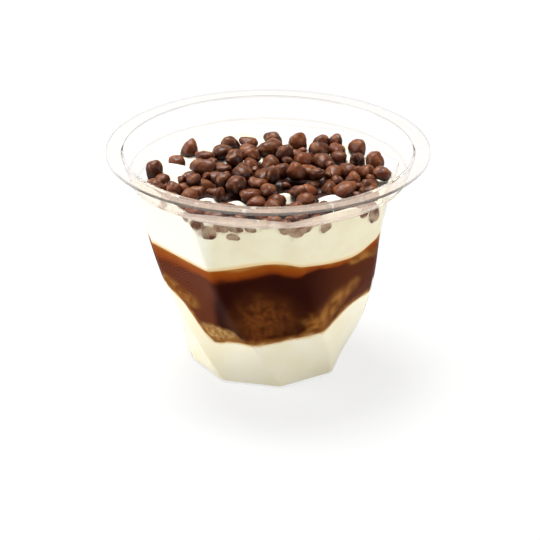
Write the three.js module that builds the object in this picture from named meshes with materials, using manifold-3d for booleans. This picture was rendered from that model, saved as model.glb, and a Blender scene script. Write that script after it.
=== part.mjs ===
// A layered tiramisu dessert in its clear plastic cup: an eight-sided cup that twists as it
// narrows, a cream layer, a sauce-soaked sponge layer, a second cream layer and a heap of
// chocolate-coated nuggets. Millimetres, +Z up, the origin at the centre of the cup's base.

import * as THREE from 'three';
import { mergeVertices } from 'three/addons/utils/BufferGeometryUtils.js';
import Module from 'manifold-3d';

// Driving dimensions of the cup.
const RIM_HEIGHT = 67.6;        // standing height of the cup
const FLANGE_RADIUS = 47.5;     // outside of the flat flange
const FLANGE_THICKNESS = 1.2;
const RIM_INNER_RADIUS = 42.3;  // mouth, at the flange's inner edge
const WALL = 1.0;
const LEDGE_HEIGHT = 60.75;     // top of the ledge that the round collar stands on
const COLLAR_FOOT_RADIUS = 40;  // inside of the collar where it meets the ledge
const SIDES = 8;                // the body below the ledge has eight sides
const BASE_CORNER_RADIUS = 23.2;
const BODY_SWELL = 24.2;        // the corner radius grows by this times the height share
const BODY_CURVE = 7.6;         // and loses this times its square, which bows the side out
const TOP_CORNER_DEG = 10;      // direction of one corner at the ledge
const TWIST_LINEAR_DEG = 9.8;   // turn of the corners on the way down, first and second order
const TWIST_SQUARE_DEG = 35.2;
const BODY_STEPS = 14;          // levels of the faceted body
const ROUND_STEPS = 56;         // facets round the collar and the flange
const OVERLAP = 0.05;           // solids that are joined reach this far into each other
const MOUTH_CUT = 7;            // the room inside is cut out to this far above the rim

// Driving dimensions of the filling.
const GAP = 0.32;               // clearance between neighbouring pieces
const FILL_RADIUS = 46;         // the layer sheets reach past the wall before they are trimmed
const SAUCE_TOP = 42.3;         // usual height of the sauce layer's upper face
const SAUCE_BOTTOM = 25.6;      // and of its lower face
const CREAM_TOP = 54.9;         // usual height of the upper cream's face
const HEAP_BED = 56.8;          // height of the closed bed of nuggets under those that show
const SURFACE_SLOPE = 0.045;    // the cream and the heap stand a little higher at the back
const BARE_BACK = 29;           // behind this the cream lies bare
const BARE_DROP = 5;            // the bed falls away by this there
const HEAP_CEILING = 63.0;      // no nugget stands higher

// Driving dimensions of the nuggets: two layers, each spread on a spiral.
const NUGGET_LAYERS = [
  { count: 71, reach: 33.5, rest: 57.8, seed: 3, blank: () => new THREE.DodecahedronGeometry(1, 0) },
  { count: 32, reach: 25.5, rest: 60.6, seed: 11, blank: () => new THREE.IcosahedronGeometry(1, 1) },
];
const GOLDEN_ANGLE = Math.PI * (3 - Math.sqrt(5));
const OUTWARD_SPREAD = 1.6;     // how far chance moves a nugget off the spiral, in and out
const ROUND_SPREAD = 0.35;      // and round the axis, in radians
const REST_SPREAD = 1.2;        // and up and down
const NUGGET_WIDTH = 5.7;
const NUGGET_VARIATION = 1.8;   // spread of the width from piece to piece
const NUGGET_LONGEST = 1.45;    // length of the most drawn-out piece, in widths
const NUGGET_FLATTEST = 0.86;   // height of the flattest piece, in widths
const NUGGET_TALLEST = 1.1;     // and of the tallest
const LEAN_SPREAD = 0.9;        // a nugget leans by up to half of this, in radians
const LUMP_SIZE = 0.09;         // each of the two lumps on a nugget, as a share of its radius
const LUMP_LIMIT = 1.1;         // a lump stands out by at most a tenth
const PEAK_SHOWS = 1.5;         // a cream peak this high stays bare of nuggets

// Places where a sheet rises or dips: centre x and y, width and height, all in millimetres.
const SAUCE_TOP_LUMPS = [
  [5, -35, 9, 3.9], [33, -17, 4.5, 6.2], [-14, 33, 10, 2.8], [-36, 8, 8, -1.2],
];
const SAUCE_BOTTOM_LUMPS = [
  [-17, -20, 3, -4], [-13, -23, 6, -8.5], [-1, -30, 7, -7],
  [13, -23, 7.5, -6.5], [-33, -12, 6, 4.2], [12, 26, 12, -6],
];
const CREAM_PEAKS = [
  [-28, 8, 4.4, 3.2], [5.2, -11.5, 2.9, 3.6], [18.5, -13, 3.7, 3.2],
  [-17.5, -13.5, 3, 3], [-9, -16.5, 2.7, 3], [-20, 27, 4, 2.4],
];

// Waves in a sheet: height, then length in x and in y.
const SAUCE_TOP_RIPPLE = [0.35, 5, 9];
const SAUCE_BOTTOM_RIPPLE = [0.4, 4, -6];
const CREAM_RIPPLE = [0.3, 4, -4.6];
const CREAM_SWELL = { height: 0.6, lengthX: 7.5, lengthY: 8.5, startX: 0.8, startY: -0.4 };

const wasm = await Module();
wasm.setup();

// A closed three.js geometry as a solid that can be joined and cut.
function solidOf(geometry) {
  const bare = geometry.index ? geometry.toNonIndexed() : geometry.clone();
  bare.deleteAttribute('normal');
  bare.deleteAttribute('uv');
  const merged = mergeVertices(bare, 1e-4);
  return new wasm.Manifold(new wasm.Mesh({
    numProp: 3,
    vertProperties: new Float32Array(merged.attributes.position.array),
    triVerts: new Uint32Array(merged.index.array),
  }));
}

// The largest piece of a solid, which drops loose scraps that a cut leaves.
function mainPiece(solid) {
  return solid.decompose().reduce((best, piece) => (piece.volume() > best.volume() ? piece : best));
}

function geometryOf(solid) {
  const mesh = solid.getMesh();
  const geometry = new THREE.BufferGeometry();
  geometry.setAttribute('position', new THREE.BufferAttribute(new Float32Array(mesh.vertProperties), 3));
  geometry.setIndex(new THREE.BufferAttribute(new Uint32Array(mesh.triVerts), 1));
  geometry.computeVertexNormals();
  return geometry;
}

function moveEachPoint(geometry, move) {
  const position = geometry.attributes.position;
  for (let i = 0; i < position.count; i += 1) {
    const point = new THREE.Vector3().fromBufferAttribute(position, i);
    move(point);
    position.setXYZ(i, point.x, point.y, point.z);
  }
  return geometry;
}

// A solid of revolution about Z from a profile of [radius, height] pairs.
function turned(profile) {
  const points = profile.map(([radius, height]) => new THREE.Vector2(radius, height));
  return solidOf(new THREE.LatheGeometry(points, ROUND_STEPS).rotateX(Math.PI / 2));
}

// Corner radius and turn of the eight-sided body at a height.
function cornerRadius(height) {
  const share = THREE.MathUtils.clamp(height / LEDGE_HEIGHT, 0, 1);
  return BASE_CORNER_RADIUS + BODY_SWELL * share - BODY_CURVE * share ** 2;
}

function cornerTurn(height) {
  const drop = 1 - THREE.MathUtils.clamp(height / LEDGE_HEIGHT, 0, 1);
  return THREE.MathUtils.degToRad(TOP_CORNER_DEG + TWIST_LINEAR_DEG * drop + TWIST_SQUARE_DEG * drop ** 2);
}

// The twisted eight-sided body between two heights, its faces moved in by an inset.
function twistedBody(inset, low, high) {
  const corners = Array.from({ length: SIDES }, (_, k) => {
    const angle = (2 * Math.PI * k) / SIDES;
    return new THREE.Vector2(Math.cos(angle), Math.sin(angle));
  });
  const prism = new THREE.ExtrudeGeometry(new THREE.Shape(corners), {
    depth: 1, steps: BODY_STEPS, bevelEnabled: false,
  });
  const cornerInset = inset / Math.cos(Math.PI / SIDES);
  return solidOf(moveEachPoint(prism, (point) => {
    point.z = THREE.MathUtils.lerp(low, high, point.z);
    const radius = cornerRadius(point.z) - cornerInset;
    const angle = Math.atan2(point.y, point.x) + cornerTurn(point.z);
    point.x = radius * Math.cos(angle);
    point.y = radius * Math.sin(angle);
  }));
}

// The room inside the cup, its walls moved in by a clearance.
function roomInside(clearance) {
  const lean = RIM_INNER_RADIUS - COLLAR_FOOT_RADIUS;
  const mouth = turned([
    [0, LEDGE_HEIGHT + clearance],
    [COLLAR_FOOT_RADIUS - clearance, LEDGE_HEIGHT + clearance],
    [RIM_INNER_RADIUS - clearance, RIM_HEIGHT],
    [RIM_INNER_RADIUS - clearance + lean, RIM_HEIGHT + MOUTH_CUT],
    [0, RIM_HEIGHT + MOUTH_CUT],
  ]);
  const inset = WALL + clearance;
  return twistedBody(inset, inset, LEDGE_HEIGHT + clearance + OVERLAP).add(mouth);
}

// The cup: flange, round collar, ledge and body in one thin wall.
function cupSolid() {
  const collar = turned([
    [0, LEDGE_HEIGHT - WALL],
    [COLLAR_FOOT_RADIUS + WALL, LEDGE_HEIGHT - WALL],
    [RIM_INNER_RADIUS + WALL, RIM_HEIGHT - FLANGE_THICKNESS],
    [FLANGE_RADIUS - FLANGE_THICKNESS / 4, RIM_HEIGHT - FLANGE_THICKNESS],
    [FLANGE_RADIUS, RIM_HEIGHT - FLANGE_THICKNESS / 2],
    [FLANGE_RADIUS - FLANGE_THICKNESS / 4, RIM_HEIGHT],
    [0, RIM_HEIGHT],
  ]);
  return twistedBody(0, 0, LEDGE_HEIGHT - WALL / 2).add(collar).subtract(roomInside(0));
}

// Sum of smooth rises and dips at a place.
function lumps(list, x, y) {
  return list.reduce((sum, [cx, cy, width, height]) => (
    sum + height * Math.exp(-((x - cx) ** 2 + (y - cy) ** 2) / (2 * width ** 2))
  ), 0);
}

function ripple([height, lengthX, lengthY], x, y) {
  return height * Math.sin(x / lengthX + y / lengthY);
}

function sauceTop(x, y) {
  return SAUCE_TOP + lumps(SAUCE_TOP_LUMPS, x, y) + ripple(SAUCE_TOP_RIPPLE, x, y);
}

function sauceBottom(x, y) {
  return SAUCE_BOTTOM + lumps(SAUCE_BOTTOM_LUMPS, x, y) + ripple(SAUCE_BOTTOM_RIPPLE, x, y);
}

function creamTop(x, y) {
  const { height, lengthX, lengthY, startX, startY } = CREAM_SWELL;
  const swell = height * Math.sin(x / lengthX + startX) * Math.cos(y / lengthY + startY);
  const waves = swell + ripple(CREAM_RIPPLE, x, y);
  return CREAM_TOP + waves + SURFACE_SLOPE * y + lumps(CREAM_PEAKS, x, y);
}

function bedTop(x, y) {
  return HEAP_BED + SURFACE_SLOPE * y - (y > BARE_BACK ? BARE_DROP : 0);
}

// All that lies under an uneven face, raised by an amount. The face is a height at x and y.
function under({ face, rings, spokes }, raise = 0) {
  const radii = Array.from({ length: rings + 1 }, (_, k) => (FILL_RADIUS * k) / rings);
  const profile = [[0, 0], [FILL_RADIUS, 0], ...radii.reverse().map((radius) => [radius, 1])];
  const points = profile.map(([radius, height]) => new THREE.Vector2(radius, height));
  const disc = new THREE.LatheGeometry(points, spokes).rotateX(Math.PI / 2);
  return solidOf(moveEachPoint(disc, (point) => {
    point.z = point.z > 0.5 ? face(point.x, point.y) + raise : 0;
  }));
}

const SAUCE_FLOOR = { face: sauceBottom, rings: 8, spokes: 36 };
const SAUCE_FACE = { face: sauceTop, rings: 6, spokes: 36 };
const CREAM_FACE = { face: creamTop, rings: 9, spokes: 36 };
const BED_FACE = { face: bedTop, rings: 4, spokes: 20 };

function lowerCreamSolid() {
  return roomInside(GAP).intersect(under(SAUCE_FLOOR));
}

function sauceSolid() {
  return roomInside(GAP).intersect(under(SAUCE_FACE)).subtract(under(SAUCE_FLOOR, GAP));
}

function upperCreamSolid() {
  return roomInside(GAP).intersect(under(CREAM_FACE)).subtract(under(SAUCE_FACE, GAP));
}

// A repeatable number from 0 to 1 for a piece and a purpose.
function chance(piece, purpose) {
  const wave = Math.sin(piece * 12.9898 + purpose * 78.233) * 43758.5453;
  return wave - Math.floor(wave);
}

// Place, size and turn of one nugget of a layer.
function nuggetAt(k, { count, reach, rest, seed, blank }) {
  const draw = (purpose) => chance(k + 1, purpose + seed);
  const radius = reach * Math.sqrt((k + 0.5) / count) + OUTWARD_SPREAD * (draw(1) - 0.5);
  const angle = k * GOLDEN_ANGLE + seed + ROUND_SPREAD * (draw(2) - 0.5);
  const width = NUGGET_WIDTH + NUGGET_VARIATION * (draw(3) - 0.5);
  const length = width * THREE.MathUtils.lerp(1, NUGGET_LONGEST, draw(4));
  const height = width * THREE.MathUtils.lerp(NUGGET_FLATTEST, NUGGET_TALLEST, draw(5));
  const turn = 2 * Math.PI * draw(7);
  const tip = LEAN_SPREAD * (draw(8) - 0.5);
  const rise = (Math.hypot(length * Math.sin(tip), height * Math.cos(tip)) / 2) * LUMP_LIMIT;
  const z = Math.min(rest + REST_SPREAD * (draw(6) - 0.5), HEAP_CEILING - rise);
  const phase = 7 * draw(9);
  const x = radius * Math.cos(angle);
  const y = radius * Math.sin(angle);
  return { x, y, z, width, length, height, turn, tip, phase, blank };
}

// All nuggets but those that would cover a bare peak or the bare back.
function nuggetList() {
  const every = NUGGET_LAYERS.flatMap((layer) => (
    Array.from({ length: layer.count }, (_, k) => nuggetAt(k, layer))
  ));
  return every.filter(({ x, y }) => lumps(CREAM_PEAKS, x, y) < PEAK_SHOWS && y < BARE_BACK);
}

// One nugget: a lumpy bean with few sides.
function nuggetSolid({ x, y, z, width, length, height, turn, tip, phase, blank }) {
  const bean = moveEachPoint(blank(), (point) => {
    const endLump = Math.sin(2.6 * point.x + phase);
    const sideLump = Math.sin(3.1 * point.y + 2 * phase) * Math.cos(2.4 * point.z);
    point.multiplyScalar(0.97 + LUMP_SIZE * (endLump + sideLump));
  });
  bean.scale(length / 2, width / 2, height / 2);
  bean.rotateY(tip);
  bean.rotateZ(turn);
  bean.translate(x, y, z);
  return solidOf(bean);
}

function heapSolid() {
  const heap = nuggetList().reduce((sum, nugget) => sum.add(nuggetSolid(nugget)), under(BED_FACE));
  return mainPiece(heap.intersect(roomInside(GAP)).subtract(under(CREAM_FACE, GAP)));
}

const clearPlastic = new THREE.MeshStandardMaterial({
  color: 0xf4f7f8, roughness: 0.08, metalness: 0, transparent: true, opacity: 0.3,
});
const whippedCream = new THREE.MeshStandardMaterial({ color: 0xf7eeda, roughness: 0.6, metalness: 0 });
const custardCream = new THREE.MeshStandardMaterial({ color: 0xf3e6bd, roughness: 0.55, metalness: 0 });
const cocoaSauce = new THREE.MeshStandardMaterial({ color: 0x4a1d0c, roughness: 0.35, metalness: 0 });
const milkChocolate = new THREE.MeshStandardMaterial({ color: 0x5d3021, roughness: 0.32, metalness: 0 });

function piece(name, solid, material) {
  const mesh = new THREE.Mesh(geometryOf(solid), material);
  mesh.name = name;
  return mesh;
}

const dessert = new THREE.Group();
dessert.add(piece('cup', cupSolid(), clearPlastic));
dessert.add(piece('lower_cream', lowerCreamSolid(), custardCream));
dessert.add(piece('sauce_sponge_layer', sauceSolid(), cocoaSauce));
dessert.add(piece('upper_cream', upperCreamSolid(), whippedCream));
dessert.add(piece('nugget_heap', heapSolid(), milkChocolate));

export default dessert;
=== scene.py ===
import math

import bmesh
import bpy
import numpy as np
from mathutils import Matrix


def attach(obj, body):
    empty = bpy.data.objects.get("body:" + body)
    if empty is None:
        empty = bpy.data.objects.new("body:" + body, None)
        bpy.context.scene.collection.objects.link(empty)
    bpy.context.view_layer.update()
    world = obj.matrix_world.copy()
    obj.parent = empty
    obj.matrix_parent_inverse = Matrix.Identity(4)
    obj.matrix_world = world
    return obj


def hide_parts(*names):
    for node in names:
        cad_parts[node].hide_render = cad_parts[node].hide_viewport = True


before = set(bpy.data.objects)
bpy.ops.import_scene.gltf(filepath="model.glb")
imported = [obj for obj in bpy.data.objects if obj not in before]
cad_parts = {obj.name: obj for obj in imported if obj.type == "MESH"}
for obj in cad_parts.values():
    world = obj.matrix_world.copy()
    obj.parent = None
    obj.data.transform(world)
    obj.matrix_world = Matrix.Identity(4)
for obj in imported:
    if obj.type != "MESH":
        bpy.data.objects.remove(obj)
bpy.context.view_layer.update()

# The cup is one thin wall of clear plastic, drawn hot into an eight-sided mould. The body turns
# as it narrows, a ledge joins it to a round collar, and the flat flange above carries the lid.
MM = 0.001
SIDES = 8
LEDGE_HEIGHT = 60.75
BASE_CORNER_RADIUS = 23.2
BODY_SWELL = 24.2
BODY_CURVE = 7.6
TOP_CORNER_DEG = 10
TWIST_LINEAR_DEG = 9.8
TWIST_SQUARE_DEG = 35.2
WALL = 0.7
CORNER_ROUNDING = 0.6
BODY_LEVELS = 22
CUTS_PER_SIDE = 11
FOOT_RING = 2.4
FOOT_RISE = 0.4
EDGE_BEVEL = 0.3
# Radius and height of the outside above the ledge: the collar, then the flange. The rows
# close to a bend keep the faces beside it flat.
COLLAR_AND_FLANGE = [
    (40.6, 60.05),
    (41.0, 60.05),
    (41.12, 60.45),
    (42.98, 66.4),
    (43.1, 66.8),
    (43.5, 66.81),
    (47.1, 66.89),
    (47.5, 66.9),
]
BEND_SUPPORT = 0.4
FOOT_RINGS = 8


def corner_radius(height):
    share = np.clip(height / LEDGE_HEIGHT, 0, 1)
    return BASE_CORNER_RADIUS + BODY_SWELL * share - BODY_CURVE * share**2


def corner_turn(height):
    drop = 1 - np.clip(height / LEDGE_HEIGHT, 0, 1)
    return np.radians(TOP_CORNER_DEG + TWIST_LINEAR_DEG * drop + TWIST_SQUARE_DEG * drop**2)


def pick(piece, kind, test):
    """Selects the vertices, edges or faces of the piece in edit mode that pass a test."""
    bpy.ops.mesh.select_all(action="DESELECT")
    shape = bmesh.from_edit_mesh(piece.data)
    for part in getattr(shape, kind):
        part.select_set(test(part))
    shape.select_flush(kind == "verts")
    bmesh.update_edit_mesh(piece.data)


def eight_sided_ring(name):
    """A closed ring of edges at the size of the base, its eight corners softened."""
    bpy.ops.object.select_all(action="DESELECT")
    bpy.ops.mesh.primitive_circle_add(
        vertices=SIDES, radius=BASE_CORNER_RADIUS * MM, fill_type="NOTHING"
    )
    ring = bpy.context.object
    ring.name = ring.data.name = name
    bpy.ops.object.mode_set(mode="EDIT")
    bpy.ops.mesh.select_all(action="SELECT")
    bpy.ops.mesh.bevel(offset=CORNER_ROUNDING * MM, segments=3, affect="VERTICES")
    pick(ring, "edges", lambda edge: edge.calc_length() > 2 * CORNER_ROUNDING * MM)
    bpy.ops.mesh.subdivide(number_cuts=CUTS_PER_SIDE)
    bpy.ops.mesh.select_all(action="SELECT")
    return ring


def chosen(piece):
    """The selected vertices' positions, in millimetres."""
    shape = bmesh.from_edit_mesh(piece.data)
    return np.array([corner.co for corner in shape.verts if corner.select]) / MM


def draw_loop(height, grow=1.0, turn=0.0, rise=0.0):
    """Extrudes the selected loop to a height, then grows and turns it about the axis."""
    pivot = (0, 0, height * MM)
    bpy.ops.mesh.extrude_region_move(TRANSFORM_OT_translate={"value": (0, 0, rise * MM)})
    bpy.ops.transform.resize(value=(grow, grow, 1), center_override=pivot)
    if turn:
        bpy.ops.transform.rotate(value=-turn, orient_axis="Z", center_override=pivot)


def shrink_closed(piece, rings):
    """Closes the selected loop by ever smaller loops that meet in one point."""
    height = chosen(piece)[0][2]
    for k in range(rings - 1):
        draw_loop(height, grow=(rings - k - 1) / (rings - k))
    bpy.ops.mesh.extrude_region_move()
    bpy.ops.mesh.merge(type="CENTER")


def keep_modifier(piece, kind, **settings):
    modifier = piece.modifiers.new(kind.title(), kind)
    for setting, value in settings.items():
        setattr(modifier, setting, value)
    bpy.ops.object.modifier_apply(modifier=modifier.name)


def finish_piece(piece, smooth_deg, node):
    bpy.ops.object.mode_set(mode="OBJECT")
    bpy.ops.object.select_all(action="DESELECT")
    piece.select_set(True)
    bpy.context.view_layer.objects.active = piece
    bpy.ops.object.shade_smooth_by_angle(angle=math.radians(smooth_deg))
    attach(piece, "root")
    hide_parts(node)


cup = eight_sided_ring("cup_wall")
bpy.ops.transform.rotate(value=-corner_turn(0), orient_axis="Z", center_override=(0, 0, 0))
body_heights = np.linspace(0, LEDGE_HEIGHT - WALL, BODY_LEVELS + 1)
body_heights = np.sort([*body_heights, BEND_SUPPORT, LEDGE_HEIGHT - WALL - BEND_SUPPORT])
for below, above in zip(body_heights[:-1], body_heights[1:]):
    draw_loop(
        above,
        grow=corner_radius(above) / corner_radius(below),
        turn=corner_turn(above) - corner_turn(below),
        rise=above - below,
    )
for radius, height in COLLAR_AND_FLANGE:
    draw_loop(height, rise=height - chosen(cup)[0][2])
    bpy.ops.transform.tosphere(value=1)
    grow = radius / np.hypot(*chosen(cup)[0][:2])
    bpy.ops.transform.resize(value=(grow, grow, 1), center_override=(0, 0, height * MM))
pick(cup, "verts", lambda corner: corner.co.z < 0.1 * MM)
draw_loop(0, grow=1 - FOOT_RING / BASE_CORNER_RADIUS)
draw_loop(FOOT_RISE, grow=1 - 0.6 * FOOT_RISE / BASE_CORNER_RADIUS, rise=FOOT_RISE)
shrink_closed(cup, FOOT_RINGS)
bpy.ops.mesh.select_all(action="SELECT")
# On a shell that is open at the rim the hollow side is taken for the outside, hence inside=True.
bpy.ops.mesh.normals_make_consistent(inside=True)
bpy.ops.object.mode_set(mode="OBJECT")
keep_modifier(cup, "SOLIDIFY", thickness=WALL * MM, offset=-1, use_even_offset=True)
sharp = math.radians(35)
keep_modifier(
    cup, "BEVEL", width=EDGE_BEVEL * MM, segments=2, limit_method="ANGLE", angle_limit=sharp
)
finish_piece(cup, 40, "cup")


class Shade:
    """A socket in a material that shader maths is written with."""

    def __init__(self, tree, socket=None):
        self.tree = tree
        self.socket = socket

    def node(self, kind, settings, sockets, output=0):
        """Any node: its settings first, then the values or links of its sockets."""
        node = self.tree.nodes.new(kind)
        for name, value in settings.items():
            if name == "stops":
                for _ in value[2:]:
                    node.color_ramp.elements.new(0.5)
                for element, (place, colour) in zip(node.color_ramp.elements, value):
                    element.position = place
                    element.color = colour
            else:
                setattr(node, name, value)
        for name, value in sockets.items():
            if isinstance(value, Shade):
                self.tree.links.new(value.socket, node.inputs[name])
            else:
                node.inputs[name].default_value = value
        return Shade(self.tree, node.outputs[output])

    def maths(self, operation, first, second=0.0):
        settings = {"operation": operation}
        return self.node("ShaderNodeMath", settings, {0: first, 1: second})

    def __add__(self, other):
        return self.maths("ADD", self, other)

    __radd__ = __add__

    def __sub__(self, other):
        return self.maths("SUBTRACT", self, other)

    def __rsub__(self, other):
        return self.maths("SUBTRACT", other, self)

    def __mul__(self, other):
        return self.maths("MULTIPLY", self, other)

    __rmul__ = __mul__

    def most(self, other):
        return self.maths("MAXIMUM", self, other)

    def step(self, low, high):
        """0 below low and 1 above high, with a soft step between."""
        settings = {"interpolation_type": "SMOOTHSTEP"}
        sockets = {"Value": self, "From Min": low, "From Max": high}
        if low > high:
            sockets = {"Value": self, "From Min": high, "From Max": low}
            return 1 - self.node("ShaderNodeMapRange", settings, sockets)
        return self.node("ShaderNodeMapRange", settings, sockets)

    def blend(self, first, second):
        """A colour between two, by this factor."""
        settings = {"data_type": "RGBA"}
        return self.node("ShaderNodeMix", settings, {0: self, 6: first, 7: second}, output=2)

    def noise(self, scale_mm, detail=3.0, roughness=0.5):
        """Cloudy noise over a position, with patches of about a size."""
        sockets = {"Vector": self, "Scale": 1 / (scale_mm * MM), "Detail": detail}
        return self.node("ShaderNodeTexNoise", {}, {**sockets, "Roughness": roughness})


def paint(red, green, blue):
    """A colour as it is read off a screen, 0 to 255, as a shader takes it."""
    channels = [
        ((channel / 255 + 0.055) / 1.055) ** 2.4 if channel > 10 else channel / 3295
        for channel in (red, green, blue)
    ]
    return (*channels, 1.0)


def new_finish(piece, name):
    """An empty material on a piece: its maths, its Principled shader and the place on it."""
    material = bpy.data.materials.new(name)
    material.use_nodes = True
    piece.data.materials.clear()
    piece.data.materials.append(material)
    shader = material.node_tree.nodes["Principled BSDF"]
    maths = Shade(material.node_tree)
    place = maths.node("ShaderNodeTexCoord", {}, {}, output="Object")
    return maths, shader, place


def part_along(maths, vector, axis):
    """One coordinate of a vector."""
    return maths.node("ShaderNodeSeparateXYZ", {}, {"Vector": vector}, output=axis)


def feed(maths, shader, **values):
    """Links or sets a shader's sockets, named with underscores for spaces."""
    for name, value in values.items():
        socket = shader.inputs[name.replace("_", " ")]
        if isinstance(value, Shade):
            maths.tree.links.new(value.socket, socket)
        else:
            socket.default_value = value


maths, shader, place = new_finish(cup, "clear_thermoformed_plastic")
draw_marks = place.noise(9.0, detail=1.0)
level = part_along(maths, place, "Z") * (1 / MM)
on_flange = level.step(66.5, 66.8)
on_ledge = level.step(59.9, 60.1) * level.step(61.2, 60.9)
matte = on_flange.most(on_ledge)
flat_place = maths.node("ShaderNodeVectorMath", {"operation": "MULTIPLY"}, {0: place, 1: (1, 1, 0)})
settings = {"operation": "LENGTH"}
radius = maths.node("ShaderNodeVectorMath", settings, {0: flat_place}, output="Value") * (1 / MM)
facing = maths.node("ShaderNodeNewGeometry", {}, {}, output="Normal")
upright = maths.maths("ABSOLUTE", part_along(maths, facing, "Z"))
# Painted reflection and refraction: an opaque haze is mixed into the plastic, dark grey on the
# rounded edges of the rim and the ledge and pale tan on the flange and ledge, more so in front, in
# place of the lines and veils that light draws in clear plastic.
rounded = upright.step(0.36, 0.5) * upright.step(0.98, 0.9) * level.step(59.3, 59.8)
outer_edge = on_flange * radius.step(47.0, 47.3)
inner_edges = rounded * radius.step(46.0, 45.0)
edges = rounded.most(outer_edge)
turned_away = maths.node("ShaderNodeLayerWeight", {}, {"Blend": 0.5}, output="Facing")
feed(
    maths,
    shader,
    Base_Color=turned_away.step(0.8, 1.0).blend((0.99, 0.99, 0.985, 1), (0.62, 0.61, 0.6, 1)),
    Transmission_Weight=1.0,
    IOR=1.05,
    Coat_Weight=0.02 + 0.3 * level.step(59.0, 61.0),
    Roughness=0.02 + 0.05 * place.noise(14.0).step(0.45, 0.8) + 0.12 * matte,
    Normal=maths.node(
        "ShaderNodeBump", {}, {"Strength": 0.06, "Distance": 0.4 * MM, "Height": draw_marks}
    ),
)
lets_light = maths.node("ShaderNodeBsdfTransparent", {}, {"Color": (0.97, 0.975, 0.97, 1)})
# The painted haze: dark grey lines on the rounded edges, pale tan elsewhere, standing in for
# reflection and refraction.
painted_haze_colour = edges.blend(paint(210, 190, 172), paint(74, 70, 65))
painted_haze = maths.node("ShaderNodeBsdfPrincipled", {}, {"Base Color": painted_haze_colour, "Roughness": 0.5})
in_front = (part_along(maths, place, "Y") * (1 / MM)).step(-14, -36)
painted_haze_share = (0.06 + 0.24 * in_front) * on_flange + (0.1 + 0.3 * in_front) * on_ledge
painted_haze_share = painted_haze_share.most((0.1 + 0.6 * in_front) * edges).most(0.85 * inner_edges)
principled = Shade(maths.tree, shader.outputs[0])
seen = maths.node("ShaderNodeMixShader", {}, {0: painted_haze_share, 1: principled, 2: painted_haze})
for ray in ("Is Shadow Ray", "Is Diffuse Ray"):
    factor = maths.node("ShaderNodeLightPath", {}, {}, output=ray)
    seen = maths.node("ShaderNodeMixShader", {}, {0: factor, 1: seen, 2: lets_light})
surface = maths.tree.nodes["Material Output"].inputs["Surface"]
maths.tree.links.new(seen.socket, surface)

# The lower cream is spooned in first and fills the foot of the cup up to the sauce. It is pale
# vanilla mascarpone cream, pressed against the wall without gaps.
BASE_INSIDE = 0.55
WALL_CONTACT = 0.5
SAUCE_BOTTOM = 25.6
# Rises and dips of a face: centre x and y, width and height.
SAUCE_BOTTOM_LUMPS = [
    (-17, -20, 3, -4),
    (-13, -23, 6, -8.5),
    (-1, -30, 7, -7),
    (13, -23, 7.5, -6.5),
    (-33, -12, 6, 4.2),
    (12, 26, 12, -6),
]
PRISM_DEPTH = 10.0


def lumps(listed, x, y):
    total = 0 * x
    for cx, cy, width, height in listed:
        total = total + height * np.exp(-((x - cx) ** 2 + (y - cy) ** 2) / (2 * width**2))
    return total


def base_inside(x, y):
    return BASE_INSIDE + 0 * x


def sauce_bottom(x, y):
    return SAUCE_BOTTOM + lumps(SAUCE_BOTTOM_LUMPS, x, y) + 0.4 * np.sin(x / 4 - y / 6)


def wall_place(outline, height):
    """x and y where a share of the eight-sided outline lies at a height, inside the wall."""
    size = corner_radius(height) - WALL_CONTACT / math.cos(math.pi / SIDES)
    turn = corner_turn(height)
    x = size * (outline[:, 0] * np.cos(turn) - outline[:, 1] * np.sin(turn))
    y = size * (outline[:, 0] * np.sin(turn) + outline[:, 1] * np.cos(turn))
    return x, y


def points_of(piece):
    flat = np.zeros(len(piece.data.vertices) * 3)
    piece.data.vertices.foreach_get("co", flat)
    return flat.reshape(-1, 3) / MM


def set_points(piece, points):
    piece.data.vertices.foreach_set("co", (points * MM).ravel())
    piece.data.update()


def note_on_points(piece, name, values):
    """Keeps a number for every vertex that the material reads."""
    attribute = piece.data.attributes.new(name, "FLOAT", "POINT")
    attribute.data.foreach_set("value", values.astype(np.float32))


def filling(name, floor, face, rows, rings):
    """A closed layer between two uneven faces, out to just inside the cup's wall."""
    layer = eight_sided_ring(name)
    for row in range(rows):
        draw_loop(0, rise=PRISM_DEPTH / rows)
    shrink_closed(layer, rings)
    pick(layer, "verts", lambda corner: corner.co.z < 0.01 * MM)
    shrink_closed(layer, rings)
    bpy.ops.mesh.select_all(action="SELECT")
    bpy.ops.mesh.normals_make_consistent(inside=False)
    bpy.ops.object.mode_set(mode="OBJECT")
    points = points_of(layer)
    outline = points[:, :2] / BASE_CORNER_RADIUS
    share = points[:, 2] / PRISM_DEPTH
    height = floor(0, 0) + share * (face(0, 0) - floor(0, 0))
    for settle in range(12):
        x, y = wall_place(outline, height)
        height = floor(x, y) + share * (face(x, y) - floor(x, y))
    set_points(layer, np.stack([x, y, height], axis=1))
    note_on_points(layer, "below_face", face(x, y) - height)
    note_on_points(layer, "above_floor", height - floor(x, y))
    note_on_points(layer, "at_wall", np.hypot(outline[:, 0], outline[:, 1]) > 0.92)
    return layer


lower_cream = filling("lower_cream_fill", base_inside, sauce_bottom, 14, 8)
finish_piece(lower_cream, 9, "lower_cream")
maths, shader, place = new_finish(lower_cream, "custard_cream_in_contact")
cloudy = place.noise(11.0)
white = cloudy.step(0.35, 0.7).blend(paint(252, 246, 226), paint(249, 240, 212))
stained = maths.node("ShaderNodeAttribute", {"attribute_name": "below_face"}, {}, output="Fac")
stained = stained + 1.4 * (place.noise(2.2, detail=4.0) - 0.5)
feed(
    maths,
    shader,
    Base_Color=stained.step(-0.2, 1.1).blend(paint(214, 178, 118), white),
    Roughness=0.5 + 0.15 * cloudy,
    Specular_IOR_Level=0.05,
    Normal=maths.node(
        "ShaderNodeBump",
        {},
        {"Strength": 0.08, "Distance": 0.3 * MM, "Height": place.noise(2.2)},
    ),
)

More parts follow.
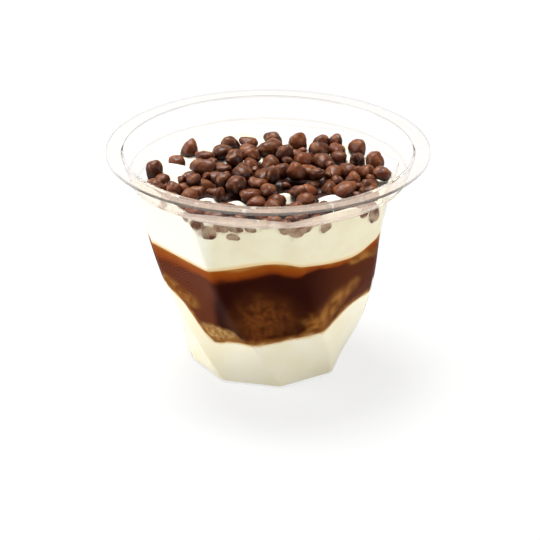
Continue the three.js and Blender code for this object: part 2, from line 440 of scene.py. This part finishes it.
# The middle layer is sponge soaked with dark cocoa sauce. Where it meets the cream it thins to
# amber, and the sponge shows through as tan patches with open pores.
SAUCE_TOP = 42.3
SAUCE_TOP_LUMPS = [
    (5, -35, 9, 3.9),
    (33, -17, 4.5, 6.2),
    (-14, 33, 10, 2.8),
    (-36, 8, 8, -1.2),
]


def sauce_top(x, y):
    return SAUCE_TOP + lumps(SAUCE_TOP_LUMPS, x, y) + 0.35 * np.sin(x / 5 + y / 9)


sauce = filling("sauce_sponge_fill", sauce_bottom, sauce_top, 18, 8)
finish_piece(sauce, 9, "sauce_sponge_layer")
maths, shader, place = new_finish(sauce, "cocoa_sauce_on_sponge")


def vector_maths(maths, operation, first, second=(0, 0, 0), output=0):
    settings = {"operation": operation}
    return maths.node("ShaderNodeVectorMath", settings, {0: first, 1: second}, output)


def patch_distance(maths, place, centre, size):
    """0 at the middle of an egg-shaped patch and 1 at its edge; both in millimetres."""
    away = vector_maths(maths, "SUBTRACT", place, [c * MM for c in centre])
    away = vector_maths(maths, "DIVIDE", away, [s * MM for s in size])
    return vector_maths(maths, "LENGTH", away, output="Value")


def streak_distance(maths, place, start, end, width):
    """0 on the line between two places, in millimetres, and 1 a width away from it."""
    span = (np.array(end) - start) * MM
    away = vector_maths(maths, "SUBTRACT", place, [s * MM for s in start])
    along = vector_maths(maths, "DOT_PRODUCT", away, span / np.dot(span, span), output="Value")
    along = maths.maths("MINIMUM", along.most(0.0), 1.0)
    along = maths.node("ShaderNodeCombineXYZ", {}, {0: along, 1: along, 2: along})
    nearest = vector_maths(maths, "MULTIPLY", along, [*span])
    away = vector_maths(maths, "SUBTRACT", away, nearest)
    return vector_maths(maths, "LENGTH", away, output="Value") * (1 / (width * MM))


def noted(maths, name):
    return maths.node("ShaderNodeAttribute", {"attribute_name": name}, {}, output="Fac")


below = noted(maths, "below_face") + 4.6 * (place.noise(8.0, detail=5.0) - 0.5)
above = noted(maths, "above_floor") + 2.8 * (place.noise(2.6, detail=4.0) - 0.5)
across = part_along(maths, place, "X") * (1 / MM)
across = across + 5.0 * (place.noise(9.0) - 0.5)
# The amber under the cream is thin on the right of the front.
below = below * (1 + 1.6 * across.step(8, 15) * across.step(30, 25))
# Painted light: the sauce is painted a lighter brown on the left and on the right, where the side
# lamps fall on the wall, and darkest in front.
sauce_with_painted_side_light = across.step(-14, -17).blend(paint(40, 7, 2), paint(92, 43, 22))
sauce_with_painted_side_light = across.step(8, 26).blend(sauce_with_painted_side_light, paint(80, 34, 12))
pores = place.noise(1.1, detail=4.0).step(0.28, 0.72)
mottled = place.noise(2.4, detail=4.0)
crumb = pores.blend(paint(82, 38, 10), paint(112, 62, 24))
torn = place.noise(2.6, detail=4.0) - 0.5
sponge_in_front = patch_distance(maths, place, (-1, -29, 24), (8.5, 10, 10))
sponge_behind = patch_distance(maths, place, (6, 30, 33), (9, 9, 7))
middle = (maths.maths("MINIMUM", sponge_in_front, sponge_behind) + 0.5 * torn).step(1.6, 0.4)
blotches = 0.35 + 0.65 * place.noise(4.5).step(0.32, 0.6)
colour = (middle * mottled.step(0.1, 0.6) * blotches).blend(sauce_with_painted_side_light, crumb)
amber_edge = maths.node(
    "ShaderNodeValToRGB",
    {
        "stops": [
            (0.0, paint(166, 110, 52)),
            (0.16, paint(142, 74, 16)),
            (0.42, paint(140, 64, 12)),
            (0.75, paint(112, 48, 9)),
            (1.0, paint(50, 13, 3)),
        ]
    },
    {"Fac": below * 0.2},
)
colour = below.step(3.0, 5.6).blend(amber_edge, colour)
# The tan streaks run along the wall: both ends, half width and strength.
STREAKS = [
    ((24.5, -18.9, 32.4), (19.5, -22.6, 28.4), 2.0, 0.7),
    ((20.0, -22.2, 28.8), (13.9, -26.8, 23.6), 3.0, 0.95),
    ((24.5, -22.4, 41.8), (30.5, -17.8, 42.4), 1.3, 0.9),
    ((-30.5, -12.5, 31.0), (-21.5, -20.0, 27.5), 1.9, 0.8),
    ((-14.0, 28.0, 37.0), (-3.0, 30.0, 29.0), 2.4, 0.8),
    ((22.0, 22.0, 33.0), (29.0, 11.0, 28.0), 2.0, 0.8),
    ((-31.0, 8.0, 36.0), (-27.0, 14.5, 29.0), 2.2, 0.8),
]
tan = (0.7 * mottled.step(0.35, 0.65) + 0.3 * pores).blend(paint(104, 54, 16), paint(168, 112, 50))
for start, end, width, strength in STREAKS:
    streak = (streak_distance(maths, place, start, end, width) + 1.1 * torn).step(2.0, 0.3)
    colour = (strength * streak).blend(colour, tan)
# Where the sauce reaches lowest it seeps into the cream in a pale fringe.
fringe = patch_distance(maths, place, (-14.5, -22.5, 17.5), (10, 8, 3.2)) + 1.1 * torn
fringe = fringe.step(1.4, 0.6)
colour = (0.9 * fringe).blend(colour, pores.blend(paint(140, 92, 42), paint(196, 156, 98)))
seeping = above.step(-0.6, 0.8).blend(paint(190, 150, 98), paint(134, 82, 36))
colour = above.step(0.3, 2.4).blend(seeping, colour)
feed(
    maths,
    shader,
    Base_Color=colour,
    Roughness=0.35 + 0.35 * (1 - pores) * middle,
    Specular_IOR_Level=0.01,
    Normal=maths.node(
        "ShaderNodeBump",
        {},
        {"Strength": 0.06, "Distance": 0.3 * MM, "Height": place.noise(1.6, detail=4.0)},
    ),
)

# The upper cream is whipped and piped over the sauce. It stands up in soft peaks between the
# nuggets and is smeared a little higher against the wall.
CREAM_TOP = 54.9
SURFACE_SLOPE = 0.045
CREAM_PEAKS = [
    (-28, 8, 4.4, 3.2),
    (5.2, -11.5, 2.9, 3.6),
    (18.5, -13, 3.7, 3.2),
    (-17.5, -13.5, 3.0, 3.0),
    (-9, -16.5, 2.7, 3.0),
    (-20, 27, 4, 2.4),
]
SMEAR_TOP = 60.1
# Where nuggets push the smear down: direction, spread and depth.
SMEAR_HOLLOWS = [(229, 3, 1.4), (243, 5, 1.8), (259, 6, 1.2), (282, 5, 1.6), (321, 4, 1.4)]


def soft_step(value, low, high):
    share = np.clip((value - low) / (high - low), 0, 1)
    return share**2 * (3 - 2 * share)


def room_left(x, y, height):
    """How far a place stands clear of the nearest face of the body's inside."""
    flat = corner_radius(height) * math.cos(math.pi / SIDES) - WALL
    turn = corner_turn(height) + math.pi / SIDES
    reach = [
        x * np.cos(turn + 2 * math.pi * k / SIDES) + y * np.sin(turn + 2 * math.pi * k / SIDES)
        for k in range(SIDES)
    ]
    return flat - np.max(reach, axis=0)


def cream_top(x, y):
    swell = 0.6 * np.sin(x / 7.5 + 0.8) * np.cos(y / 8.5 - 0.4) + 0.3 * np.sin(x / 4 - y / 4.6)
    open_top = CREAM_TOP + swell + SURFACE_SLOPE * y + lumps(CREAM_PEAKS, x, y)
    direction = np.degrees(np.arctan2(y, x)) % 360
    hollows = sum(
        depth * np.exp(-((direction - middle) ** 2) / (2 * spread**2))
        for middle, spread, depth in SMEAR_HOLLOWS
    )
    smeared = SMEAR_TOP - hollows - open_top
    in_front = soft_step(y, 8, -12)
    return open_top + smeared * in_front * soft_step(room_left(x, y, 58.0), 2.6, 0.4)


upper_cream = filling("upper_cream_fill", sauce_top, cream_top, 12, 30)
finish_piece(upper_cream, 9, "upper_cream")
maths, shader, place = new_finish(upper_cream, "whipped_cream_soft")
cloudy = place.noise(8.0)
stained = noted(maths, "above_floor") + 1.5 * (cloudy - 0.5)
white = cloudy.step(0.35, 0.7).blend(paint(253, 248, 234), paint(248, 240, 220))
pressed = noted(maths, "at_wall")
across = part_along(maths, place, "X") * (1 / MM)
# Painted light and shade: the cream against the wall is painted darker and yellower, as shade under
# the flange, and whiter on the left, where the left lamp lights it.
wall_cream_painted_light_and_shade = cloudy.step(0.3, 0.7).blend(paint(236, 229, 200), paint(230, 221, 190))
wall_cream_painted_light_and_shade = across.step(-14, -20).blend(wall_cream_painted_light_and_shade, paint(242, 240, 226))
white = pressed.blend(white, wall_cream_painted_light_and_shade)
nugget_shade_paint = noted(maths, "nugget_behind") + 0.9 * (place.noise(2.4, detail=4.0) - 0.5)
# Painted shadow round the nuggets that touch the wall.
white = (0.8 * pressed * nugget_shade_paint.step(0.35, 0.95)).blend(white, paint(168, 134, 106))
feed(
    maths,
    shader,
    Base_Color=stained.step(0.1, 1.6).blend(paint(226, 196, 142), white),
    Roughness=0.45 + 0.2 * cloudy,
    Specular_IOR_Level=0.2,
    Normal=maths.node(
        "ShaderNodeBump",
        {},
        {
            "Strength": 0.35,
            "Distance": 0.5 * MM,
            "Height": place.noise(3.0, detail=4.0) * (1 - 0.8 * pressed),
        },
    ),
)

# The nuggets are crunchy crumbs, tumbled in milk chocolate till they are rounded and satin, and
# strewn over the cream in a loose heap, one or two deep, over a core of buried ones.
NUGGET_COUNT = 240
CRUMBS = 40
CRUMB_SHARE = 0.45
NUGGET_WIDTH = 5.5
NUGGET_VARIATION = 2.0
NUGGET_LONGEST = 1.45
HEAP_EDGE_CEILING = 60.4
HEAP_MIDDLE_CEILING = 62.6
HEAP_BACK = 23.0
HEAP_SEED = 5
STREWN_REACH = 34.5
HEAP_SPREAD = 15
PEAK_SHOWS = 0.9
LEVEL_WITH_CREAM = 57.0
TRIES = 14
CUT_PLANES = 11
# The nuggets that stand out: x, y and height of the middle, then width and height.
STANDING_OUT = [
    (-34, 4.8, 58.5, 5.9, 7.2), (-31, 0.1, 57.5, 4.7, 4), (-28.9, -5.1, 57.4, 4.1, 3.8),
    (-27.3, 13.8, 57.4, 5.2, 3.9), (-23.6, 21.8, 58.2, 5, 6.3), (-19, 17.8, 57.9, 6.4, 3.6),
    (-11.3, 27.8, 57.6, 6.4, 4.4), (-6, 28.6, 57.6, 5.9, 3.4), (-9.7, 16.6, 58, 5.3, 4.5),
    (-4.7, 16.1, 58.2, 5.4, 4.7), (1.5, 31.1, 57.9, 6, 4.4), (9.1, 26.8, 58.2, 5.9, 6.5),
    (5, 15.5, 59.3, 5.3, 6.4), (16, 27.6, 57.9, 5.9, 5), (20.6, 27.6, 58, 4.6, 5.6),
    (27.6, 22.2, 58.2, 6.7, 6), (32, 13.2, 58.2, 5.7, 6), (29.2, 5.9, 58.9, 6.2, 5.6),
    (30, -1.4, 57.1, 5.3, 3.6), (24.8, 0, 58.6, 4.8, 5.7), (22.7, -9.4, 58, 7.4, 4.8),
    (-13.9, -13.1, 58.4, 3.6, 5.2), (-21.3, -9.1, 58.8, 5.8, 4.8), (-9.3, -8.6, 59.4, 6.6, 5.9),
    (-3, -6.9, 58.9, 6.2, 4), (1.2, -2.4, 59.8, 4.6, 6.4), (8.5, 0.2, 60, 6.3, 5.9),
    (9, -12.5, 58.5, 5.5, 5), (-5, -13.6, 58.2, 6.5, 3.8), (-3.4, -18.6, 58.1, 5.9, 3.8),
]


def chance(piece, purpose):
    """A repeatable number from 0 to 1 for a piece and a purpose."""
    wave = math.sin(piece * 12.9898 + purpose * 78.233) * 43758.5453
    return wave - math.floor(wave)


def strewn_nuggets():
    """The nuggets that stand out, then the rest, each dropped to the lowest of a few places."""
    laid = []
    for k, (x, y, middle, width, height) in enumerate(STANDING_OUT):
        if math.hypot(x, y) > 22:
            middle = min(middle, cream_top(x, y) + 0.46 * height)
        nugget = {"k": 500 + k, "x": x, "y": y, "z": middle, "length": width, "height": height}
        nugget["width"] = (width + height) / 2
        nugget["grip"] = (width + nugget["width"]) / 4
        nugget["tip"] = 0.5 * (chance(k, 7) - 0.5)
        nugget["turn"] = 0.6 * (chance(k, 8) - 0.5) + math.pi * (chance(k, 9) > 0.5)
        laid.append(nugget)
    for k in range(NUGGET_COUNT):
        draw = [chance(k + 1, purpose + HEAP_SEED) for purpose in range(60)]
        width = NUGGET_WIDTH + NUGGET_VARIATION * (draw[0] - 0.5)
        if k >= NUGGET_COUNT - CRUMBS:
            width *= CRUMB_SHARE
        length = width * (1 + (NUGGET_LONGEST - 1) * draw[1] ** 2)
        height = width * (0.8 + 0.25 * draw[2])
        tip = draw[3] - 0.5
        rise = math.hypot(length * math.sin(tip), height * math.cos(tip)) / 2
        grip = (length + width) / 4
        best = None
        for t in range(TRIES):
            radius = STREWN_REACH * draw[6 + t] ** 0.62
            angle = 2 * math.pi * draw[30 + t]
            x = radius * math.cos(angle)
            y = radius * math.sin(angle)
            bare = lumps(CREAM_PEAKS, x, y) > PEAK_SHOWS
            if bare or y > HEAP_BACK or room_left(x, y, LEVEL_WITH_CREAM) < grip:
                continue
            rest = cream_top(x, y) + 0.2 * height
            for other in laid:
                apart = math.hypot(x - other["x"], y - other["y"])
                touch = 0.9 * (grip + other["grip"])
                if apart < touch:
                    rest = max(rest, other["z"] + 0.85 * math.sqrt(touch**2 - apart**2))
            if best is None or rest < best["z"]:
                best = {"x": x, "y": y, "z": rest}
        if best is None:
            continue
        crown = math.exp(-((best["x"] - 2) ** 2 + best["y"] ** 2) / (2 * HEAP_SPREAD**2))
        ceiling = HEAP_EDGE_CEILING + (HEAP_MIDDLE_CEILING - HEAP_EDGE_CEILING) * crown
        if best["z"] + rise < ceiling:
            best.update(k=k, width=width, length=length, height=height, tip=tip, grip=grip)
            best.update(turn=2 * math.pi * draw[4])
            laid.append(best)
    return laid


def pebble(sphere, k):
    """A rounded chunk: a ball cut by soft planes, dented, drawn to a drop, bean or double lobe."""
    draw = np.array([chance(k + 1, purpose + 200 + HEAP_SEED) for purpose in range(4 * CUT_PLANES)])
    towards = 2 * math.pi * draw[:CUT_PLANES]
    rise = 2 * draw[CUT_PLANES : 2 * CUT_PLANES] - 1
    flat = np.sqrt(1 - rise**2)
    planes = np.stack([flat * np.cos(towards), flat * np.sin(towards), rise], axis=1)
    reach = 0.85 + 0.32 * draw[2 * CUT_PLANES : 3 * CUT_PLANES]
    facing = np.clip(sphere @ planes.T, 0, None) / reach
    size = (np.sum(facing**5, axis=1) + 0.9**5) ** (-1 / 5)
    phase = 7 * draw[0]
    dents = np.sin(4.6 * sphere[:, 0] + phase) * np.sin(4.3 * sphere[:, 1] + 2 * phase)
    grain = np.sin(9 * sphere[:, 2] + 3 * phase) * np.sin(8 * sphere[:, 0] - phase)
    shape = sphere * (size * (1 + 0.06 * dents + 0.02 * grain))[:, None]
    taper, bend, pinch = draw[3 * CUT_PLANES : 3 * CUT_PLANES + 3]
    along = shape[:, 0]
    slim = 1 - 0.3 * taper**2 * along - 0.35 * max(pinch - 0.6, 0) * np.exp(-((along / 0.4) ** 2))
    shape[:, 1:] *= slim[:, None]
    shape[:, 2] += 0.5 * (bend - 0.5) * along**2
    low = shape.min(axis=0)
    high = shape.max(axis=0)
    return 2 * (shape - (low + high) / 2) / (high - low)


def turned_to(points, tip, turn):
    x = points[:, 0] * math.cos(tip) + points[:, 2] * math.sin(tip)
    z = points[:, 2] * math.cos(tip) - points[:, 0] * math.sin(tip)
    y = points[:, 1]
    return np.stack(
        [x * math.cos(turn) - y * math.sin(turn), x * math.sin(turn) + y * math.cos(turn), z],
        axis=1,
    )


def kept_inside(points, clearance):
    """Presses what would pass the wall flat against it."""
    x, y, z = points.T
    flat = corner_radius(z) * math.cos(math.pi / SIDES) - clearance
    for k in range(SIDES):
        angle = corner_turn(z) + math.pi / SIDES * (1 + 2 * k)
        past = np.clip(x * np.cos(angle) + y * np.sin(angle) - flat, 0, None)
        x = x - past * np.cos(angle)
        y = y - past * np.sin(angle)
    return np.stack([x, y, z], axis=1)


def ball(subdivisions):
    """Points and faces of an even ball."""
    bpy.ops.object.select_all(action="DESELECT")
    bpy.ops.mesh.primitive_ico_sphere_add(subdivisions=subdivisions, radius=1)
    blank = bpy.context.object
    points = points_of(blank) * MM
    faces = np.array([list(face.vertices) for face in blank.data.polygons])
    bpy.data.objects.remove(blank)
    return points, faces


plain_ball = ball(3)
fine_ball = ball(4)

corners = []
sides = []
shades = []
undersides = []
films = []
count = 0
for nugget in strewn_nuggets():
    sphere, faces = fine_ball if nugget["z"] > 57.2 else plain_ball
    shape = pebble(sphere, nugget["k"])
    halves = np.array([nugget["length"], nugget["width"], nugget["height"]]) / 2
    shape = turned_to(shape * halves, nugget["tip"], nugget["turn"])
    shape = shape + [nugget["x"], nugget["y"], nugget["z"]]
    corners.append(kept_inside(shape, WALL + 0.1))
    sides.append(faces + count)
    shades.append(np.full(len(shape), chance(nugget["k"], 91)))
    undersides.append(0.5 - (shape[:, 2] - nugget["z"]) / nugget["height"])
    films.append(np.zeros(len(shape)))
    count += len(shape)

# Nuggets squeezed against the wall: direction, height of the middle, length and height.
AT_THE_WALL = [
    (242, 55.3, 5.2, 5.2), (237.5, 57.6, 4.6, 4.2), (232.5, 58.6, 4.0, 3.6),
    (248.5, 57.3, 5.0, 4.2), (255.5, 57.6, 5.0, 4.0), (262, 58.0, 4.6, 3.6),
    (254, 54.4, 4.6, 2.6), (268.5, 59.3, 4.4, 3.0), (277.5, 58.7, 4.2, 4.6),
    (282.5, 57.5, 5.4, 5.4), (287, 58.4, 4.2, 4.8), (297, 56.8, 4.4, 4.6),
    (293, 59.0, 3.4, 3.0), (318, 58.4, 3.8, 4.6), (323.5, 56.4, 3.8, 6.4),
    (214, 58.7, 4.6, 3.8),
]
sphere, faces = fine_ball
for k, (direction, middle, length, width) in enumerate(AT_THE_WALL):
    shape = pebble(sphere, 300 + k) * [length / 2, 1.9, width / 2]
    angle = math.radians(direction)
    shape = turned_to(shape, 0.6 * (chance(k, 3) - 0.5), angle + math.pi / 2)
    reach = np.linspace(20, 44, 97)
    clear = room_left(reach * math.cos(angle), reach * math.sin(angle), middle)
    out = reach[np.argmin(np.abs(clear - 0.8))]
    shape = shape + [out * math.cos(angle), out * math.sin(angle), middle]
    shape = kept_inside(shape, WALL_CONTACT - 0.06)
    corners.append(shape)
    sides.append(faces + count)
    shades.append(np.full(len(shape), 0.3 + 0.7 * chance(k, 5)))
    undersides.append(np.full(len(shape), 0.3))
    films.append(1 - soft_step(room_left(*shape.T) + WALL - WALL_CONTACT, 0.1, 0.9))
    count += len(shape)

# Painted shadow: round these nuggets the cream on the wall is painted brown, as the shade they cast
# on it.
points = points_of(upper_cream)
round_angle = np.degrees(np.arctan2(points[:, 1], points[:, 0])) % 360
shadow = 0 * round_angle
for direction, middle, length, width in AT_THE_WALL:
    along = (round_angle - direction) * math.pi / 180 * 37 / (0.62 * length)
    upward = (points[:, 2] - middle) / (0.62 * width)
    shadow = np.maximum(shadow, np.exp(-(along**2) - upward**2))
note_on_points(upper_cream, "nugget_behind", shadow)

# The core: a low lumpy mound that stands for buried nuggets, given the darkest tone and painted
# shade, that darkens the gaps.
bpy.ops.mesh.primitive_uv_sphere_add(segments=144, ring_count=64, radius=1)
mound = bpy.context.object
bpy.ops.object.mode_set(mode="EDIT")
bpy.ops.mesh.quads_convert_to_tris()
bpy.ops.object.mode_set(mode="OBJECT")
shape = points_of(mound) * MM
bumps = np.sin(17 * shape[:, 0] + 2 * np.sin(5 * shape[:, 1])) * np.sin(15 * shape[:, 1] + 1)
bumps = np.abs(bumps) ** 0.5 * np.clip(4 * shape[:, 2], 0, 1)
shape = shape * [28, 22, 1.2] + [1, 0, 54.6]
shape[:, 2] += 0.9 * bumps
corners.append(shape)
sides.append(np.array([list(face.vertices) for face in mound.data.polygons]) + count)
# The low tone and the underside value paint the mound dark, as painted shade in the gaps.
shades.append(np.full(len(shape), 0.1))
undersides.append(np.full(len(shape), 0.6))
films.append(np.zeros(len(shape)))
bpy.data.objects.remove(mound)
heap_mesh = bpy.data.meshes.new("nugget_pieces")
heap_mesh.from_pydata((np.concatenate(corners) * MM).tolist(), [], np.concatenate(sides).tolist())
nuggets = bpy.data.objects.new("nugget_pieces", heap_mesh)
bpy.context.scene.collection.objects.link(nuggets)
bpy.context.view_layer.objects.active = nuggets
note_on_points(nuggets, "piece_shade", np.concatenate(shades))
note_on_points(nuggets, "underside", np.concatenate(undersides))
note_on_points(nuggets, "cream_film", np.concatenate(films))
finish_piece(nuggets, 180, "nugget_heap")
maths, shader, place = new_finish(nuggets, "satin_milk_chocolate")
tone = noted(maths, "piece_shade")
rubbed = place.noise(1.8, detail=4.0)
brown = tone.blend(paint(58, 20, 6), paint(108, 52, 23))
brown = rubbed.step(0.5, 0.75).blend(brown, paint(142, 88, 50))
# Painted light and shade: each nugget's crown is painted paler in rubbed patches, as light falling
# from above, and its underside dark, as painted shade.
underside = noted(maths, "underside")
crown = underside.step(0.35, 0.05) * rubbed.step(0.3, 0.6)
brown = (0.4 * crown).blend(brown, paint(150, 96, 60))
brown = (0.92 * underside.step(0.25, 0.8)).blend(brown, paint(26, 4, 0))
# A thin film of cream lies between the wall and the nuggets that touch it.
film = noted(maths, "cream_film") * place.noise(2.6, detail=4.0).step(0.3, 0.65)
feed(
    maths,
    shader,
    Base_Color=(0.55 * film).blend(brown, paint(206, 186, 154)),
    Roughness=0.28 + 0.25 * rubbed,
    Specular_IOR_Level=0.3,
    Normal=maths.node(
        "ShaderNodeBump",
        {},
        {"Strength": 0.35, "Distance": 0.25 * MM, "Height": place.noise(0.9, detail=3.0)},
    ),
)

# The stage is a plain white floor and a bright even surround, with soft lamps on the left, on the
# right and above. The camera looks down at the cup from the front.
def looked_at(maths):
    """1 for rays that come straight or through the clear plastic from the camera."""
    straight = maths.node("ShaderNodeLightPath", {}, {}, output="Is Camera Ray")
    through = maths.node("ShaderNodeLightPath", {}, {}, output="Is Transmission Ray")
    return straight.most(through)


bpy.ops.object.select_all(action="DESELECT")
bpy.ops.mesh.primitive_plane_add(size=12)
floor = bpy.context.object
floor.name = "floor"
maths, shader, place = new_finish(floor, "white_floor")
in_mirror = maths.node("ShaderNodeLightPath", {}, {}, output="Is Glossy Ray")
seen = looked_at(maths).most(in_mirror)
feed(
    maths,
    shader,
    Base_Color=seen.blend(paint(250, 250, 249), (0.2, 0.2, 0.2, 1)),
    Roughness=0.8,
    Specular_IOR_Level=0.0,
    Emission_Color=(1, 0.998, 0.992, 1),
    Emission_Strength=0.75 * seen,
)

world = bpy.data.worlds.new("studio")
bpy.context.scene.world = world
world.use_nodes = True
maths = Shade(world.node_tree)
feed(
    maths,
    world.node_tree.nodes["Background"],
    Color=(1.0, 0.995, 0.985, 1),
    Strength=0.22 + 0.75 * looked_at(maths),
)


def soft_lamp(name, position, size, power):
    bpy.ops.object.light_add(type="AREA", location=position)
    lamp = bpy.context.object
    lamp.name = name
    lamp.data.size = size
    lamp.data.energy = power
    lamp.visible_camera = False
    lamp.rotation_mode = "QUATERNION"
    lamp.rotation_quaternion = lamp.location.to_track_quat("Z", "Y")


soft_lamp("lamp_left", (-0.65, -0.12, 0.36), 0.4, 2.9)
soft_lamp("lamp_right", (0.65, -0.35, 0.2), 0.4, 1.8)
soft_lamp("lamp_above", (-0.1, 0.2, 0.75), 0.35, 7.5)

bpy.ops.object.camera_add(
    location=(0.00055, -0.67704, 0.34723), rotation=(math.radians(90 - 25.243), 0, 0)
)
camera = bpy.context.object
camera.data.sensor_width = 36
camera.data.lens = 166.6
bpy.context.scene.camera = camera
bpy.context.scene.view_settings.view_transform = "Standard"
